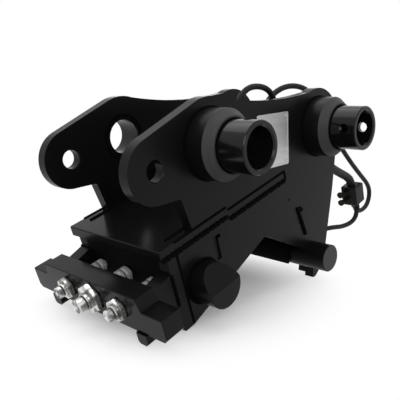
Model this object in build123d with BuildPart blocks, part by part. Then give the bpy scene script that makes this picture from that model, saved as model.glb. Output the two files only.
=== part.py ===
"""Hydraulic quick coupler for an excavator.

The arm's stick pin and link pin go through the upper side plates. An attachment hangs on the front
shaft and is locked by two pins that oil pressure drives out sideways at the rear. A beam at the front
carries three oil couplings. X runs across the machine, Y rearwards and Z up. The origin is the centre
of the stick pin's bore, midway between the side plates.
"""

import os
from math import atan2, cos, pi, radians, sin, tan

from build123d import *

# Side plates
plate_thick = 25.0
plate_gap = 255.0
pin_bore = 80.0
link_y = 396.0
link_z = 20.0
hump_radius = 95.0
top_dip = 85.0
ear_y = -147.0
ear_z = -42.0
ear_radius = 66.0
ear_hole = 41.0
rear_edge_y = 478.0
rear_edge_lean = 7.0
body_bottom = -341.0
belly_corner_y = 188.0
belly_corner_z = -226.0

# Bosses and pin sleeves
collar_radius = 73.0
collar_length = 45.0
cone_length = 18.0
cone_nose = 58.5
sleeve_wall = 12.0
sleeve_reach = 129.0
short_sleeve_reach = 40.0
cross_bolt = 23.0
cross_bolt_inset = 29.0
drain_y = 279.0
drain_z = -153.0
drain_hole = 6.0

# Deck, tilted with its nose down
tilt = 17.5
deck_thick = 22.0
deck_top = -146.0
deck_front = -196.0
deck_joint = 8.0
deck_step = 8.0
deck_tab_end = 219.0
deck_end = 288.0

# Cross plates under the deck
bulkhead_thick = 26.0
bulkhead_front = -182.0
line_hole = 28.0
rib_thick = 20.0
rib_front = -55.0
rib_tab = 56.0
tab_recess = 6.0
tab_thick = 13.0
slot_relief = 9.0
belly_thick = 16.0
rear_rib_thick = 16.0
rear_rib_lean = 30.0
rear_rib_y = 317.0
rear_rib_z = -182.0
rear_rib_height = 82.0
rear_rib_reach = 120.0
tab_drop = 22.0

# Front shaft
shaft_radius = 45.0
shaft_step = 1.0
shaft_y = -18.0
shaft_z = -284.0
shaft_reach = 215.0
lead_in_length = 36.0
lead_in_drop = 2.0

# Locking pins and their cylinder
lock_y = 386.0
lock_z = -312.0
lock_radius = 35.0
lock_reach = 211.0
lock_stroke = 58.0
lock_bore = 25.0
lock_end_wall = 25.0
running_fit = 0.05
lug_radius = 69.0
hook_front = 15.0
hook_flat = 11.0
plate_entry_y = 352.0
plate_entry_z = -291.0
guide_radius = 60.0
guide_length = 21.0
rod_radius = 14.0
piston_length = 15.0
gland_length = 20.0
seal_width = 3.0
anchor_thick = 18.0
shroud_wall = 8.0
shroud_gap = 2.0
shroud_back = 5.0
shroud_front = 222.0

# Coupling beam
beam_half = 158.0
beam_step = 8.0
beam_wing = 223.0
beam_top = -198.0
wing_drop = 27.0
beam_height = 78.5
beam_front = -281.0
beam_depth = 46.0
beam_corner = 9.0
arm_width = 34.0
arm_clearance = 3.0
arm_drop = 10.0
lug_x = 150.0
lug_width = 28.0
lug_height = 25.0

# Oil couplings
coupling_pitch = 88.5
coupling_shift = 7.5
coupling_drop = 38.0
coupling_sizes = (45.0, 60.0, 45.0)
coupling_names = ("left", "centre", "right")
nose_shares = (0.34, 0.30, 0.34)
poppet_travel = 6.0
poppet_radius = 5.0
nut_thick = 12.0
nose_lengths = (19.0, 30.0, 19.0)
adapter_wall = 2.0
adapter_hex = 14.0
adapter_length = 50.0

# Hoses
thick_hose = 25.0
thin_hose = 14.0
line_diameter = 16.0
pipe_drop = 20.0
junction_front = 22.0
junction_length = 46.0
junction_height = 36.0
hose_x = 104.0
block_x = 82.0
block_y = 722.0
block_z = -203.0
block_width = 50.0
block_height = 61.0
plug_spread = 13.0
plug_radius = 9.5
manifold_width = 40.0
manifold_height = 46.0
manifold_front = 192.0
manifold_rear = 286.0
port_radius = 10.0
port_height = 12.0
rear_port_drop = 26.0
lock_port_x = 36.0

half_gap = plate_gap / 2
outer = half_gap + plate_thick
shaft_seat = shaft_radius + shaft_step
bore_radius = pin_bore / 2
sleeve_radius = bore_radius + sleeve_wall
deck_bottom = deck_top - deck_thick
rear_deck_top = deck_top - deck_step
rear_deck_bottom = rear_deck_top - deck_thick
bulkhead_rear = bulkhead_front + bulkhead_thick
beam_rear = beam_front + beam_depth
coupling_spots = (coupling_shift - coupling_pitch, coupling_shift, coupling_shift + coupling_pitch)
adapter_corner = (nose_shares[0] * coupling_sizes[0] + adapter_wall) / cos(radians(30))
arm_x = coupling_spots[-1] + adapter_corner + arm_clearance + arm_width / 2
coupling_height = beam_top - coupling_drop
tilt_c = cos(radians(tilt))
tilt_s = sin(radians(tilt))

os.makedirs("parts", exist_ok=True)


def keep(piece, name):
    """Labels a finished piece and writes it."""
    piece.part.label = name
    export_step(piece.part, f"parts/{name}.step")


def on_tilt(run, rise):
    """Y and Z of a point given along and square to the deck."""
    return (run * tilt_c - rise * tilt_s, run * tilt_s + rise * tilt_c)


def along_tilt(y, z):
    """Distance along the deck and square to it of a point given by Y and Z."""
    return (y * tilt_c + z * tilt_s, z * tilt_c - y * tilt_s)


def deck_plane(rise):
    """A plane parallel to the deck: X across, Y along the deck to the rear."""
    y, z = on_tilt(0, rise)
    return Plane(origin=(0, y, z), x_dir=(1, 0, 0), z_dir=(0, -tilt_s, tilt_c))


def cross_plane(run):
    """A plane square to the deck that faces forwards: X across, Y up from the deck's zero line."""
    y, z = on_tilt(run, 0)
    return Plane(origin=(0, y, z), x_dir=(1, 0, 0), z_dir=(0, -tilt_c, -tilt_s))


def side_plane(x):
    """A plane square to X: its X runs along Y and its Y runs along Z."""
    return Plane.YZ.offset(x)


def solid_of(outline, x_from, x_to):
    """Extrudes a closed outline, given by Y and Z, between two X planes."""
    with BuildPart(mode=Mode.PRIVATE) as plate:
        with BuildSketch(side_plane(x_from)):
            with BuildLine():
                Polyline(*outline, close=True)
            make_face()
        extrude(amount=x_to - x_from)
    return plate.part


def slab(run_from, run_to, rise_from, rise_to, half_width):
    """A plate parallel to the deck, centred on the mid-plane."""
    with BuildPart(mode=Mode.PRIVATE) as plate:
        with BuildSketch(deck_plane(rise_from)):
            with Locations((0, (run_from + run_to) / 2)):
                Rectangle(2 * half_width, run_to - run_from)
        extrude(amount=rise_to - rise_from)
    return plate.part


rear_top_y = rear_edge_y + rear_edge_lean
rear_bottom_y = lock_y + lug_radius
rib_dir = (sin(radians(rear_rib_lean)), -cos(radians(rear_rib_lean)))
rib_across = (cos(radians(rear_rib_lean)), sin(radians(rear_rib_lean)))


def along_rear_rib(down, across):
    """Y and Z of a point on the slanted rear rib."""
    return (
        rear_rib_y + down * rib_dir[0] + across * rib_across[0],
        rear_rib_z + down * rib_dir[1] + across * rib_across[1],
    )


def rear_rib_outline(down_from, down_to):
    """Corners of the slanted rib between two depths."""
    half = rear_rib_thick / 2
    return [
        along_rear_rib(down_from, -half),
        along_rear_rib(down_from, half),
        along_rear_rib(down_to, half),
        along_rear_rib(down_to, -half),
    ]


def rear_tab_outline(down_from, down_to):
    """Corners of the slanted rib's narrower tab between two depths."""
    half = tab_thick / 2
    return [
        along_rear_rib(down_from, -half),
        along_rear_rib(down_from, half),
        along_rear_rib(down_to, half),
        along_rear_rib(down_to, -half),
    ]


# Deck: a front plate whose edge is flush with the side plates, and a rear one with tabs
with BuildPart() as deck_front_plate:
    add(slab(deck_front, deck_joint, deck_bottom, deck_top, outer))
    chamfer(deck_front_plate.edges().filter_by(Axis.X).group_by(Axis.Y)[0], 2)
keep(deck_front_plate, "deck_front_plate")

with BuildPart() as deck_rear_plate:
    add(slab(deck_joint, deck_end, rear_deck_bottom, rear_deck_top, half_gap))
    add(slab(deck_joint, deck_tab_end, rear_deck_bottom, rear_deck_top, outer))
keep(deck_rear_plate, "deck_rear_plate")

# Front bulkhead with a hole for each oil pipe, its edges flush with the side plates
with BuildPart() as front_bulkhead:
    add(slab(bulkhead_front, bulkhead_rear, body_bottom, deck_bottom, outer))
    with BuildSketch(cross_plane(bulkhead_front)):
        with Locations(*[(x, coupling_height) for x in coupling_spots]):
            Circle(line_hole / 2)
    extrude(amount=-bulkhead_thick, mode=Mode.SUBTRACT)
keep(front_bulkhead, "front_bulkhead")

# Belly plate that closes the underside from the bulkhead up to the belly corner
belly_front = on_tilt(bulkhead_rear, body_bottom)
belly_slope = atan2(belly_corner_z - belly_front[1], belly_corner_y - belly_front[0])
belly_up = (-belly_thick * sin(belly_slope), belly_thick * cos(belly_slope))
belly_outline = [
    belly_front,
    (belly_corner_y, belly_corner_z),
    (belly_corner_y + belly_up[0], belly_corner_z + belly_up[1]),
    (belly_front[0] + belly_up[0], belly_front[1] + belly_up[1]),
]
with BuildPart() as belly_plate:
    add(solid_of(belly_outline, -half_gap, half_gap))
    add(slab(bulkhead_front, bulkhead_rear, body_bottom - 60, deck_bottom, outer), mode=Mode.SUBTRACT)
    with BuildSketch(side_plane(-half_gap)):
        with Locations((shaft_y, shaft_z)):
            Circle(shaft_seat)
    extrude(amount=plate_gap, mode=Mode.SUBTRACT)
keep(belly_plate, "belly_plate")

tab_front = rib_front + (rib_thick - tab_thick) / 2

# Middle rib behind the front shaft, with a tab through each side plate and a hole for each oil pipe
with BuildPart() as middle_rib:
    add(slab(rib_front, rib_front + rib_thick, body_bottom, deck_bottom, half_gap))
    add(slab(tab_front, tab_front + tab_thick, deck_bottom - rib_tab - tab_drop, deck_bottom - tab_drop,
             outer - tab_recess))
    far_below = body_bottom - 200
    below_belly = [
        belly_outline[3], belly_outline[2], (belly_corner_y, far_below), (belly_front[0], far_below),
    ]
    add(solid_of(below_belly, -half_gap, half_gap), mode=Mode.SUBTRACT)
    with BuildSketch(cross_plane(rib_front)):
        with Locations(*[(x, deck_bottom - pipe_drop) for x in coupling_spots]):
            Circle(line_diameter / 2 + 2)
    extrude(amount=-rib_thick, mode=Mode.SUBTRACT)
keep(middle_rib, "middle_rib")

# Slanted rear rib down to the locking cylinder's shroud, with a tab through each side plate
shroud_outer = lock_radius + shroud_gap + shroud_wall
with BuildPart() as rear_rib:
    add(solid_of(rear_rib_outline(0, rear_rib_reach), -half_gap, half_gap))
    add(solid_of(rear_tab_outline(0, rear_rib_height), tab_recess - outer, outer - tab_recess))
    above_deck = slab(deck_joint, deck_end + rear_rib_height, rear_deck_bottom, rear_deck_top, half_gap)
    add(above_deck, mode=Mode.SUBTRACT)
    with BuildSketch(side_plane(-half_gap)):
        with Locations((lock_y, lock_z)):
            Circle(shroud_outer)
    extrude(amount=plate_gap, mode=Mode.SUBTRACT)
keep(rear_rib, "rear_rib")

# Side plates: ear for lifting, two humps round the pins, and the lower body with the locking lug
notch = (-86.0, -97.0)
neck_bottom = on_tilt(-101.0, deck_top)
body_front_top = on_tilt(bulkhead_rear, deck_top)
body_front_bottom = on_tilt(bulkhead_rear, body_bottom)
lug_entry = (plate_entry_y, plate_entry_z)
foot_z = on_tilt(bulkhead_front, body_bottom)[1]
hook_y = lock_y + hook_front
hook_opening = [
    (lock_y, lock_z), lug_entry, (belly_corner_y, belly_corner_z), (belly_corner_y, foot_z - 40),
    (hook_y, foot_z - 40), (hook_y, lock_z - lock_radius),
]
hook_toe = [
    (hook_y, lock_z - lock_radius - 4), (hook_y, foot_z), (hook_y + hook_flat, foot_z),
    (hook_y + hook_flat + 16, foot_z + 13), (hook_y + hook_flat + 28, lock_z - lock_radius),
]
with BuildPart() as side_plate_right:
    with BuildSketch(side_plane(half_gap)) as outline:
        with BuildLine():
            start = (ear_y - 10, ear_z - ear_radius + 1)
            dip_end = (link_y - 50, link_z + hump_radius - 12)
            Line(start, notch)
            Line(notch, neck_bottom)
            Line(neck_bottom, body_front_top)
            Line(body_front_top, body_front_bottom)
            Line(body_front_bottom, (belly_corner_y, belly_corner_z))
            Line((belly_corner_y, belly_corner_z), lug_entry)
            Line(lug_entry, (lock_y, lock_z))
            Line((lock_y, lock_z), (rear_bottom_y, lock_z))
            Line((rear_bottom_y, lock_z), (rear_edge_y, link_z - 170))
            Line((rear_edge_y, link_z - 170), (rear_top_y, link_z - 85))
            Line((rear_top_y, link_z - 85), (link_y + hump_radius, link_z))
            Line((link_y + hump_radius, link_z), (link_y, link_z))
            Line((link_y, link_z), dip_end)
            ThreePointArc(dip_end, (link_y / 2 - 30, top_dip), (0, hump_radius))
            Line((0, hump_radius), (0, 0))
            Line((0, 0), start)
        make_face()
        with Locations((link_y, link_z)):
            Circle(hump_radius)
        with Locations((lock_y, lock_z)):
            Circle(lug_radius)
        with BuildSketch(mode=Mode.ADD):
            Circle(hump_radius)
            with Locations((ear_y, ear_z)):
                Circle(ear_radius)
            make_hull()
        with BuildLine():
            Polyline(*hook_opening, close=True)
        make_face(mode=Mode.SUBTRACT)
        with BuildLine():
            Polyline(*hook_toe, close=True)
        make_face()
        corners = outline.vertices()
        fillet(corners.sort_by_distance(notch)[0], 8)
        fillet(corners.sort_by_distance((belly_corner_y, belly_corner_z))[0], 26)
        with Locations((0, 0), (link_y, link_z)):
            Circle(sleeve_radius, mode=Mode.SUBTRACT)
        with Locations((ear_y, ear_z)):
            Circle(ear_hole / 2, mode=Mode.SUBTRACT)
        with Locations((lock_y, lock_z)):
            Circle(lock_radius + running_fit, mode=Mode.SUBTRACT)
        with Locations((shaft_y, shaft_z)):
            Circle(shaft_seat, mode=Mode.SUBTRACT)
        with Locations((drain_y, drain_z)):
            Circle(drain_hole / 2, mode=Mode.SUBTRACT)
    extrude(amount=plate_thick)
    chamfer(side_plate_right.edges().filter_by(GeomType.CIRCLE).filter_by(
        lambda edge: abs(edge.radius - ear_hole / 2) < 0.1), 2)
    for cutter in (deck_front_plate, deck_rear_plate):
        add(cutter.part, mode=Mode.SUBTRACT)
    slot_top = deck_bottom - tab_drop
    add(slab(tab_front, tab_front + tab_thick, slot_top - rib_tab, slot_top, outer), mode=Mode.SUBTRACT)
    add(slab(tab_front, tab_front + tab_thick + slot_relief, slot_top - slot_relief, slot_top, outer),
        mode=Mode.SUBTRACT)
    add(solid_of(rear_tab_outline(0, rear_rib_height), -outer, outer), mode=Mode.SUBTRACT)
    relief = [along_rear_rib(0, 0), along_rear_rib(0, tab_thick / 2 + slot_relief),
              along_rear_rib(slot_relief, tab_thick / 2 + slot_relief), along_rear_rib(slot_relief, 0)]
    add(solid_of(relief, -outer, outer), mode=Mode.SUBTRACT)
keep(side_plate_right, "side_plate_right")

with BuildPart() as side_plate_left:
    mirror(side_plate_right.part, about=Plane.YZ)
keep(side_plate_left, "side_plate_left")


def turned(profile, y, z):
    """Turns a profile, given as (X, radius) points, about an axis parallel to X."""
    with BuildPart(mode=Mode.PRIVATE) as ring:
        with BuildSketch(Plane(origin=(0, y, z), x_dir=(1, 0, 0), z_dir=(0, -1, 0))):
            with BuildLine():
                Polyline(*profile, close=True)
            make_face()
        revolve(axis=Axis((0, y, z), (1, 0, 0)))
    return ring.part


# Pin sleeves and the collars round them: long sleeves on the right, short ones on the left
collar_end = outer + collar_length
cone_end = collar_end + cone_length
right_collar = [
    (outer, sleeve_radius), (outer, collar_radius - 2), (outer + 2, collar_radius),
    (collar_end, collar_radius), (cone_end, cone_nose), (cone_end, sleeve_radius),
]
left_collar = [
    (-outer, sleeve_radius), (-outer, collar_radius - 2), (-outer - 2, collar_radius),
    (2 - collar_end, collar_radius), (-collar_end, collar_radius - 2), (-collar_end, sleeve_radius),
]
right_sleeve = [
    (half_gap, bore_radius + 1.5), (half_gap, sleeve_radius), (outer + sleeve_reach - 2, sleeve_radius),
    (outer + sleeve_reach, sleeve_radius - 2), (outer + sleeve_reach, bore_radius + 3),
    (outer + sleeve_reach - 3, bore_radius), (half_gap + 1.5, bore_radius),
]
left_sleeve = [
    (-half_gap, bore_radius + 1.5), (-half_gap, sleeve_radius),
    (-outer - short_sleeve_reach, sleeve_radius),
    (-outer - short_sleeve_reach, bore_radius + 3), (3 - outer - short_sleeve_reach, bore_radius),
    (-half_gap - 1.5, bore_radius),
]
bolt_x = outer + sleeve_reach - cross_bolt_inset
for pin, y, z, bolt_dir in (("stick", 0.0, 0.0, (0, 0, 1)), ("link", link_y, link_z, (0, 1, 0))):
    with BuildPart() as collar_right:
        add(turned(right_collar, y, z))
    keep(collar_right, f"{pin}_collar_right")
    with BuildPart() as collar_left:
        add(turned(left_collar, y, z))
    keep(collar_left, f"{pin}_collar_left")
    with BuildPart() as sleeve_right:
        add(turned(right_sleeve, y, z))
        with BuildSketch(Plane(origin=(bolt_x, y, z), z_dir=bolt_dir)):
            Circle(cross_bolt / 2)
        extrude(amount=sleeve_radius + 5, both=True, mode=Mode.SUBTRACT)
    keep(sleeve_right, f"{pin}_sleeve_right")
    with BuildPart() as sleeve_left:
        add(turned(left_sleeve, y, z))
    keep(sleeve_left, f"{pin}_sleeve_left")

# Front shaft: one bar through both side plates, turned down outside them, each end cut by a rising flat
with BuildPart() as front_shaft:
    with BuildSketch(side_plane(-shaft_reach)):
        with Locations((shaft_y, shaft_z)):
            Circle(shaft_radius)
    extrude(amount=2 * shaft_reach)
    with BuildSketch(side_plane(-outer)):
        with Locations((shaft_y, shaft_z)):
            Circle(shaft_seat)
    extrude(amount=2 * outer)
    shaft_ends = front_shaft.faces().sort_by(Axis.X)
    chamfer(shaft_ends[0].edges() + shaft_ends[-1].edges(), 1.5)
    shaft_run, shaft_rise = along_tilt(shaft_y, shaft_z)
    slope = (shaft_radius - lead_in_drop) / lead_in_length
    for side in (1, -1):
        tip = side * shaft_reach
        with BuildSketch(cross_plane(shaft_run + shaft_radius + 5)):
            with BuildLine():
                Polyline(
                    (tip + side, shaft_rise + lead_in_drop - slope),
                    (tip - side * (lead_in_length + 10), shaft_rise + shaft_radius + 10 * slope),
                    (tip + side, shaft_rise + shaft_radius + 10 * slope),
                    close=True,
                )
            make_face()
        extrude(amount=2 * shaft_radius + 10, mode=Mode.SUBTRACT)
keep(front_shaft, "front_shaft")

# Locking gear: a fixed rod on the mid-plane, and two hollow pins that slide out over its pistons
pin_inner = anchor_thick / 2 + 2 + lock_stroke
bore_end = lock_reach - lock_end_wall
piston_from = pin_inner + gland_length + 1
piston_to = piston_from + piston_length
for name, side in (("right", 1), ("left", -1)):
    pin_profile = [
        (side * pin_inner, lock_bore), (side * pin_inner, lock_radius - 1),
        (side * (pin_inner + 1), lock_radius),
        (side * (lock_reach - 2), lock_radius), (side * lock_reach, lock_radius - 2),
        (side * lock_reach, 0), (side * bore_end, 0), (side * bore_end, lock_bore),
    ]
    with BuildPart() as lock_pin:
        add(turned(pin_profile, lock_y, lock_z))
    keep(lock_pin, f"lock_pin_{name}")
    gland_bore = rod_radius + running_fit
    gland_profile = [
        (side * pin_inner, gland_bore), (side * pin_inner, lock_bore),
        (side * (pin_inner + gland_length), lock_bore), (side * (pin_inner + gland_length), gland_bore),
    ]
    with BuildPart() as lock_gland:
        add(turned(gland_profile, lock_y, lock_z))
    keep(lock_gland, f"lock_gland_{name}")
    groove = lock_bore - 4
    skirt = lock_bore - running_fit
    middle = (piston_from + piston_to) / 2
    seal_half = seal_width / 2
    piston_profile = [
        (side * piston_from, rod_radius), (side * piston_from, skirt),
        (side * (middle - seal_half), skirt), (side * (middle - seal_half), groove),
        (side * (middle + seal_half), groove), (side * (middle + seal_half), skirt),
        (side * piston_to, skirt), (side * piston_to, rod_radius),
    ]
    with BuildPart() as lock_piston:
        add(turned(piston_profile, lock_y, lock_z))
    keep(lock_piston, f"lock_piston_{name}")
    seal_profile = [
        (side * (middle - seal_half), groove), (side * (middle - seal_half), skirt),
        (side * (middle + seal_half), skirt), (side * (middle + seal_half), groove),
    ]
    with BuildPart() as piston_seal:
        add(turned(seal_profile, lock_y, lock_z))
    keep(piston_seal, f"piston_seal_{name}")
    guide_x = half_gap - guide_length if side > 0 else -half_gap
    with BuildPart() as lock_guide:
        with BuildSketch(side_plane(guide_x)):
            with Locations((lock_y, lock_z)):
                Circle(guide_radius)
                Circle(lock_radius + running_fit, mode=Mode.SUBTRACT)
        extrude(amount=guide_length)
        add(rear_rib.part, mode=Mode.SUBTRACT)
        add(solid_of(hook_opening, -half_gap, half_gap), mode=Mode.SUBTRACT)
    keep(lock_guide, f"lock_guide_{name}")

with BuildPart() as lock_rod:
    with BuildSketch(side_plane(-piston_to)):
        with Locations((lock_y, lock_z)):
            Circle(rod_radius)
    extrude(amount=2 * piston_to)
keep(lock_rod, "lock_rod")

shroud_inner = lock_radius + shroud_gap
with BuildPart() as lock_anchor:
    with BuildSketch(side_plane(-anchor_thick / 2)):
        with Locations((lock_y, lock_z)):
            Circle(shroud_inner)
            Circle(rod_radius, mode=Mode.SUBTRACT)
    extrude(amount=anchor_thick)
keep(lock_anchor, "lock_anchor")

# Shroud: a trough over the pins between the two guides, open below
shroud_half = half_gap - guide_length
with BuildPart() as lock_shroud:
    with BuildSketch(side_plane(-shroud_half)):
        with Locations((lock_y, lock_z)):
            Circle(shroud_outer)
            Circle(shroud_inner, mode=Mode.SUBTRACT)
        with BuildLine():
            back = radians(-shroud_back)
            front = radians(shroud_front)
            reach = 2 * shroud_outer
            Polyline(
                (lock_y, lock_z),
                (lock_y + reach * cos(back), lock_z + reach * sin(back)),
                (lock_y, lock_z - 2 * reach),
                (lock_y + reach * cos(front), lock_z + reach * sin(front)),
                close=True,
            )
        make_face(mode=Mode.SUBTRACT)
    extrude(amount=2 * shroud_half)
keep(lock_shroud, "lock_shroud")

# Coupling beam at the front, stepped down to a wing at each end
with BuildPart() as coupling_beam:
    wing_top = beam_top - wing_drop
    beam_bottom = beam_top - beam_height
    with BuildSketch(cross_plane(beam_rear)) as beam_face:
        with BuildLine():
            Polyline(
                (-beam_half, beam_top), (beam_half, beam_top), (beam_half + beam_step, wing_top),
                (beam_wing, wing_top), (beam_wing, beam_bottom), (-beam_wing, beam_bottom),
                (-beam_wing, wing_top), (-beam_half - beam_step, wing_top), close=True,
            )
        make_face()
        chamfer(beam_face.vertices().group_by(Axis.Y)[0], beam_corner)
        for index, size in enumerate(coupling_sizes):
            with Locations((coupling_spots[index], coupling_height)):
                Circle(nose_shares[index] * size, mode=Mode.SUBTRACT)
    extrude(amount=beam_depth)
    chamfer(coupling_beam.faces().sort_by(Axis.Y)[0].outer_wire().edges(), 1.5)
keep(coupling_beam, "coupling_beam")

for name, side in (("right", 1), ("left", -1)):
    with BuildPart() as beam_arm:
        with BuildSketch(side_plane(side * arm_x - arm_width / 2)):
            with BuildLine():
                Polyline(
                    on_tilt(beam_rear, beam_bottom), on_tilt(bulkhead_front, beam_bottom),
                    on_tilt(bulkhead_front, beam_top - arm_drop / 2),
                    on_tilt(beam_rear, wing_top + arm_drop),
                    close=True,
                )
            make_face()
        extrude(amount=arm_width)
    keep(beam_arm, f"beam_arm_{name}")
    with BuildPart() as guide_lug:
        with BuildSketch(cross_plane(beam_rear - 14)) as lug_face:
            with Locations((side * lug_x, beam_bottom - lug_height / 2)):
                Rectangle(lug_width, lug_height)
            chamfer(lug_face.vertices().group_by(Axis.Y)[0], 5)
        extrude(amount=beam_depth - 10)
    keep(guide_lug, f"guide_lug_{name}")

# Oil couplings: a body through the beam, a nut on its face, and a sprung poppet in the nose
for index, (name, size) in enumerate(zip(coupling_names, coupling_sizes)):
    x = coupling_spots[index]
    nose_length = nose_lengths[index]
    shank = nose_shares[index] * size
    face = Plane(origin=cross_plane(beam_front).from_local_coords((x, coupling_height, 0)),
                 x_dir=(1, 0, 0), z_dir=cross_plane(0).z_dir)
    spindle = Axis(face.origin, face.z_dir)
    turning = Plane(origin=face.origin, x_dir=(1, 0, 0), z_dir=face.z_dir.cross(Vector(1, 0, 0)) * -1)
    up = 1 if turning.y_dir.dot(face.z_dir) > 0 else -1
    bore = poppet_radius + 0.05
    with BuildPart() as coupling:
        with BuildSketch(turning):
            with BuildLine():
                Polyline(
                    (bore, up * -beam_depth), (shank, up * -beam_depth), (shank, up * nut_thick),
                    (shank + 1, up * nut_thick), (shank + 1, up * (nut_thick + nose_length / 3)),
                    (shank - 2, up * (nut_thick + nose_length / 2)),
                    (shank - 2, up * (nut_thick + nose_length - 1)),
                    (shank - 3, up * (nut_thick + nose_length)),
                    (bore, up * (nut_thick + nose_length)), close=True,
                )
            make_face()
        revolve(axis=spindle)
    keep(coupling, f"coupling_{name}")
    with BuildPart() as nut:
        with BuildSketch(face):
            RegularPolygon(size / 2, 6, major_radius=False, rotation=30)
            Circle(shank, mode=Mode.SUBTRACT)
        extrude(amount=nut_thick)
    keep(nut, f"coupling_nut_{name}")
    with BuildPart() as poppet:
        with BuildSketch(face.offset(-beam_depth + poppet_travel + 4)):
            Circle(poppet_radius)
        extrude(amount=beam_depth + nut_thick + nose_length - poppet_travel - 4)
    keep(poppet, f"coupling_poppet_{name}")
    with BuildPart() as adapter:
        with BuildSketch(face.offset(-beam_depth)):
            RegularPolygon(shank + adapter_wall, 6, major_radius=False)
        extrude(amount=-adapter_hex)
        with BuildSketch(face.offset(-beam_depth - adapter_hex)):
            Circle(shank)
        extrude(amount=adapter_hex - adapter_length)
    keep(adapter, f"coupling_adapter_{name}")

# Manifold on the rear deck, and the connector block that the hoses carry behind the coupler
with BuildPart() as manifold:
    with BuildSketch(deck_plane(rear_deck_top)) as foot_print:
        with Locations((hose_x, (manifold_front + manifold_rear) / 2)):
            Rectangle(manifold_width, manifold_rear - manifold_front)
    extrude(amount=manifold_height)
    chamfer(manifold.edges().group_by(Axis((0, 0, 0), tuple(deck_plane(0).z_dir)))[-1], 2)
keep(manifold, "manifold")

port_spots = [manifold_front + 16, (manifold_front + manifold_rear) / 2, manifold_rear - 16]
port_rise = rear_deck_top + manifold_height
with BuildPart() as hose_ports:
    for run in port_spots:
        with BuildSketch(deck_plane(port_rise)):
            with Locations((hose_x, run)):
                RegularPolygon(port_radius, 6, major_radius=False)
        extrude(amount=port_height)
    rear_y, rear_z = on_tilt(manifold_rear, port_rise - rear_port_drop)
    with BuildSketch(Plane(origin=(hose_x, rear_y, rear_z), x_dir=(1, 0, 0), z_dir=(0, tilt_c, tilt_s))):
        RegularPolygon(thick_hose / 2 + 3, 6, major_radius=False)
    extrude(amount=port_height)
    with BuildSketch(Plane(origin=(lock_port_x, lock_y + shroud_outer - 2, lock_z), z_dir=(0, 1, 0))):
        RegularPolygon(port_radius, 6, major_radius=False)
    extrude(amount=port_height + 2)
    add(lock_shroud.part, mode=Mode.SUBTRACT)
keep(hose_ports, "hose_ports")


def on_block(along, up):
    """Y and Z of a point given from the block's centre, along its tilt and square to it."""
    y, z = on_tilt(along, up)
    return (block_y + y, block_z + z)


block_half = block_width / 2
with BuildPart() as connector_block:
    with BuildSketch(Plane(origin=(block_x, *on_block(0, -block_height / 2)), x_dir=(1, 0, 0),
                           z_dir=deck_plane(0).z_dir)):
        Rectangle(block_width, block_width)
    extrude(amount=block_height)
    chamfer(connector_block.edges(), 3)
keep(connector_block, "connector_block")

with BuildPart() as dust_plugs:
    for up in (-plug_spread, plug_spread):
        plug_place = (block_x - block_half + plug_radius, *on_block(-block_half, up))
        seat = Plane(origin=plug_place, x_dir=(1, 0, 0), z_dir=cross_plane(0).z_dir)
        with BuildSketch(seat):
            Circle(plug_radius / 2)
        extrude(amount=2 * plug_radius)
        with BuildSketch(seat.offset(2 * plug_radius)):
            Circle(plug_radius)
        extrude(amount=plug_radius / 2)
keep(dust_plugs, "dust_plugs")


def hose(route, diameter, name):
    """Sweeps a hose along straight runs joined by the largest arcs that fit, and prints their radii."""
    points = [Vector(*point) for point in route]
    radii = []
    for before, corner, after in zip(points, points[1:], points[2:]):
        turn = radians((corner - before).get_angle(after - corner))
        shorter = min((corner - before).length, (after - corner).length)
        radii.append(0.45 * shorter / tan(turn / 2))
    with BuildPart() as tube:
        with BuildLine() as path:
            FilletPolyline(*points, radius=radii)
        with BuildSketch(Plane(origin=points[0], z_dir=points[1] - points[0])):
            Circle(diameter / 2)
        sweep()
    length = sum(edge.length for edge in path.edges())
    share = tube.part.volume / (length * pi * diameter**2 / 4)
    print(name, "length", round(length), "volume share", round(share, 4),
          "radii", [round(radius / diameter, 1) for radius in radii])
    keep(tube, name)


port_tips = [on_tilt(run, port_rise + port_height) for run in port_spots]
port_tops = [on_tilt(run, port_rise + port_height + 26) for run in port_spots]
rear_tip = on_tilt(manifold_rear + port_height, port_rise - rear_port_drop)
rear_top = on_tilt(manifold_rear + port_height + 32, port_rise - rear_port_drop)

# Loop between the first and third ports
hose([
    (hose_x, *port_tips[0]), (hose_x, *port_tops[0]), (hose_x, 164, 46), (hose_x + 1, 156, 92),
    (hose_x + 2, 184, 125), (hose_x + 2, 232, 125), (hose_x + 1, 262, 94), (hose_x, 268, 48),
    (hose_x, *port_tops[2]), (hose_x, *port_tips[2]),
], thin_hose, "loop_hose")

# Long hose from the middle port, over the side plate's dip and down behind it, then up into the block
return_x = block_x - 8
hose([
    (hose_x, *port_tips[1]), (hose_x, *port_tops[1]), (hose_x - 18, 250, 56), (hose_x - 20, 288, 104),
    (hose_x - 18, 344, 129), (hose_x - 14, 408, 128), (hose_x - 14, 462, 104), (hose_x - 16, 516, 62),
    (hose_x - 20, 570, 10), (hose_x - 24, 630, -42), (hose_x - 28, 696, -88), (hose_x - 29, 770, -137),
    (return_x, 838, -183), (return_x, 852, -222), (return_x, 835, -257), (return_x, 797, -271),
    (return_x, *on_block(14, -block_height / 2 - 38)), (return_x, *on_block(14, -block_height / 2)),
], thin_hose, "return_hose")

# Thick hose from the manifold's rear port to the top of the block
hose([
    (hose_x, *rear_tip), (hose_x, *rear_top), (hose_x - 2, 420, -44), (hose_x - 6, 482, -67),
    (hose_x - 11, 540, -95), (hose_x - 16, 600, -121), (hose_x - 20, 656, -139),
    (block_x, *on_block(0, block_height / 2 + 32)), (block_x, *on_block(0, block_height / 2)),
], thick_hose, "pressure_hose")

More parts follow.
